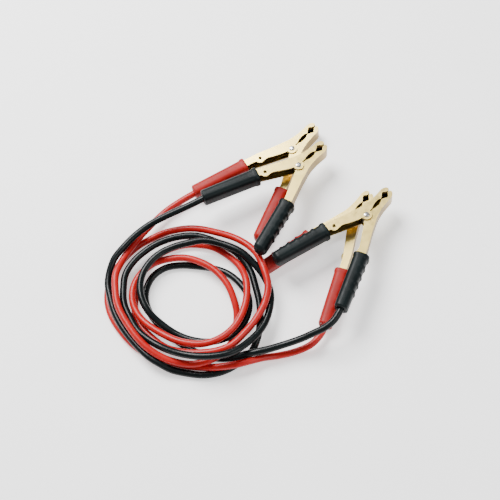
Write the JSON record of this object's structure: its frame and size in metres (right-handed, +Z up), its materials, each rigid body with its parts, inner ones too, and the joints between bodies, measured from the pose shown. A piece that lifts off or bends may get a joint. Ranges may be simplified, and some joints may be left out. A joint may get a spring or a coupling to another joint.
{
  "type": "jumper cables",
  "caption": "Red and black jumper cables in a loose coil, with sprung metal clamps that have ribbed rubber grips, lying on a floor.",
  "frame": {"origin": "middle of the four clamps in plan, on the floor they lie on", "axes": "+Z up from the floor; +Y from the coil and the cables' side away to the far clamps' jaws; +X to the right of the picture"},
  "size_m": [0.2984, 0.2901, 0.0436],
  "materials": {
    "lever_metal": "satin plated sheet steel",
    "rivet_steel": "polished",
    "spring_steel": "plain wire",
    "red_grip": "satin",
    "black_grip": "satin",
    "red_cable": "satin vinyl",
    "black_cable": "satin vinyl"
  },
  "bodies": {
    "base": {"red_a_cable_lever": "lever_metal", "red_a_cable_grip": "red_grip", "red_a_pivot_rivet": "rivet_steel", "red_a_spring": "spring_steel", "red_a_cable_end": "red_cable", "black_a_cable_lever": "lever_metal", "black_a_cable_grip": "black_grip", "black_a_pivot_rivet": "rivet_steel", "black_a_spring": "spring_steel", "black_a_cable_end": "black_cable", "red_b_cable_lever": "lever_metal", "red_b_cable_grip": "red_grip", "red_b_pivot_rivet": "rivet_steel", "red_b_spring": "spring_steel", "red_b_cable_end": "red_cable", "black_b_cable_lever": "lever_metal", "black_b_cable_grip": "black_grip", "black_b_pivot_rivet": "rivet_steel", "black_b_spring": "spring_steel", "black_b_cable_end": "black_cable", "red_cable_coil": "red_cable", "black_cable_coil": "black_cable"},
    "red_a_free_jaw": {"red_a_free_lever": "lever_metal", "red_a_free_grip": "red_grip"},
    "black_a_free_jaw": {"black_a_free_lever": "lever_metal", "black_a_free_grip": "black_grip"},
    "red_b_free_jaw": {"red_b_free_lever": "lever_metal", "red_b_free_grip": "red_grip"},
    "black_b_free_jaw": {"black_b_free_lever": "lever_metal", "black_b_free_grip": "black_grip"}
  },
  "joints": [
    {"name": "red_a_jaw_hinge", "type": "hinge", "parent": "base", "child": "red_a_free_jaw", "pos_m": [0.0003, 0.0873, 0.0098], "axis": [0, 0, -1], "range_deg": [0, 36], "stiffness_Nm_per_rad": 1.5, "springref_deg": -34.38, "deforming": ["red_a_spring"]},
    {"name": "black_a_jaw_hinge", "type": "hinge", "parent": "base", "child": "black_a_free_jaw", "pos_m": [0.0089, 0.0562, 0.0292], "axis": [-0.0373, -0.0367, -0.9986], "range_deg": [0, 36], "stiffness_Nm_per_rad": 1.5, "springref_deg": -34.38, "deforming": ["black_a_spring"]},
    {"name": "red_b_jaw_hinge", "type": "hinge", "parent": "base", "child": "red_b_free_jaw", "pos_m": [0.0631, 0.0014, 0.0098], "axis": [0, 0, 1], "range_deg": [0, 36], "stiffness_Nm_per_rad": 1.5, "springref_deg": -34.38, "deforming": ["red_b_spring"]},
    {"name": "black_b_jaw_hinge", "type": "hinge", "parent": "base", "child": "black_b_free_jaw", "pos_m": [0.0816, -0.0026, 0.0284], "axis": [0.0269, 0.0344, 0.999], "range_deg": [0, 36], "stiffness_Nm_per_rad": 1.5, "springref_deg": -34.38, "deforming": ["black_b_spring"]}
  ]
}
